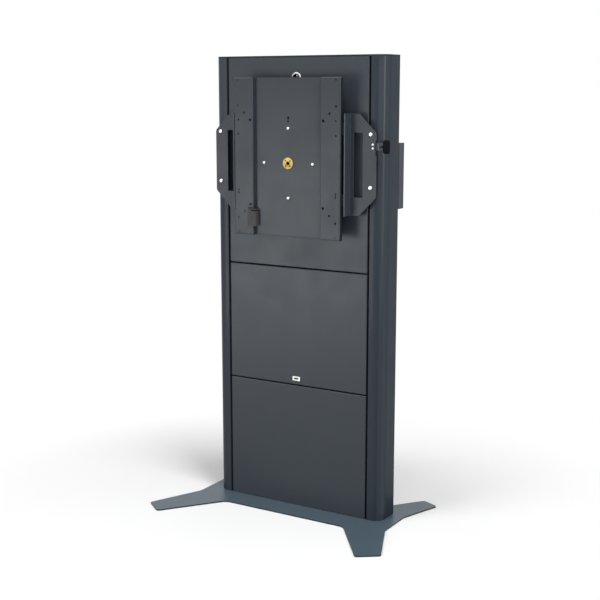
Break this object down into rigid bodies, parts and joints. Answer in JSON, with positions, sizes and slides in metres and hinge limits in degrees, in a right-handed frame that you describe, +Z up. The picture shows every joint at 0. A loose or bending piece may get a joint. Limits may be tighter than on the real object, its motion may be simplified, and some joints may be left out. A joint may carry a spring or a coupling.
{
  "type": "motorized tv floor stand",
  "caption": "Floor stand for a large flat screen: a flat steel column on a foot plate with splayed legs, and a motor-driven carriage that lifts a drilled mounting tray.",
  "frame": {"origin": "on the floor, at the centre of the foot's outline seen from above", "axes": "+X to the right seen from the front, +Y to the back, +Z up"},
  "size_m": [0.9748, 0.5943, 1.66],
  "materials": {
    "column_paint": "fine-textured anthracite powder coat",
    "foot_paint": "blue-grey powder coat, low sheen",
    "tray_paint": "fine-textured anthracite powder coat",
    "frame_steel": "black finish on steel",
    "zinc_fasteners": "bright zinc plating",
    "ground_steel": "ground bare steel",
    "satin_metal": "satin, natural metal",
    "bush_brass": "turned brass",
    "nut_bronze": "turned bronze",
    "glide_plastic": "natural acetal",
    "black_plastic": "black moulded plastic",
    "block_plastic": "grey-brown moulded plastic",
    "drive_housing": "cast housing, matte",
    "magnet_metal": "nickel-plated"
  },
  "bodies": {
    "column": {"base_bolts": "zinc_fasteners", "base_plate": "foot_paint", "bottom_crossbeam": "frame_steel", "cable_outlet_ring": "satin_metal", "control_unit": "black_plastic", "gearbox": "drive_housing", "inlet_contacts": "bush_brass", "left_foot_plate": "frame_steel", "left_front_upright": "frame_steel", "left_guide_rail": "ground_steel", "left_rear_upright": "frame_steel", "left_side_profile": "column_paint", "lift_motor": "drive_housing", "limit_switches": "black_plastic", "lower_front_panel": "column_paint", "middle_front_panel": "column_paint", "panel_badge": "satin_metal", "panel_magnets": "magnet_metal", "power_inlet": "black_plastic", "rear_box": "column_paint", "rear_box_lid": "column_paint", "rear_panel": "column_paint", "rear_panel_screws": "zinc_fasteners", "right_foot_plate": "frame_steel", "right_front_upright": "frame_steel", "right_guide_rail": "ground_steel", "right_rear_upright": "frame_steel", "right_side_profile": "column_paint", "top_cap": "column_paint", "top_crossbeam": "frame_steel", "upper_bearing_block": "drive_housing", "upper_front_panel": "column_paint"},
    "carriage": {"carriage_plate": "frame_steel", "lower_left_glide": "glide_plastic", "lower_right_glide": "glide_plastic", "upper_left_glide": "glide_plastic", "upper_right_glide": "glide_plastic", "drive_nut": "nut_bronze", "left_arm": "tray_paint", "right_arm": "tray_paint", "arm_bolts": "zinc_fasteners", "left_wing": "tray_paint", "right_wing": "tray_paint", "wing_bolts": "zinc_fasteners", "wing_nuts": "zinc_fasteners", "upper_cross_channel": "tray_paint", "lower_cross_channel": "tray_paint", "centre_plate": "tray_paint", "mount_tray": "tray_paint", "centre_bush": "bush_brass", "tray_screws": "zinc_fasteners", "corner_block": "block_plastic", "knob_bracket": "tray_paint", "bracket_screws": "zinc_fasteners"},
    "screw": {"lift_screw": "ground_steel", "screw_coupling": "ground_steel"},
    "knob": {"clamp_knob": "black_plastic", "knob_stud": "frame_steel"}
  },
  "joints": [
    {"name": "lift_travel", "type": "slide", "parent": "column", "child": "carriage", "axis": [0, 0, 1], "range_m": [-0.5, 0]},
    {"name": "screw_turn", "type": "hinge", "parent": "column", "child": "screw", "pos_m": [0, 0.08965, 0.13], "axis": [0, 0, 1], "range_deg": [-10, 18010]},
    {"name": "knob_turn", "type": "hinge", "parent": "carriage", "child": "knob", "pos_m": [0.36, -0.02035, 1.352], "axis": [1, 0, 0], "continuous": true}
  ],
  "couplings": [
    {"joint": "screw_turn", "follows": "lift_travel", "rad_per_m": -628.32}
  ]
}
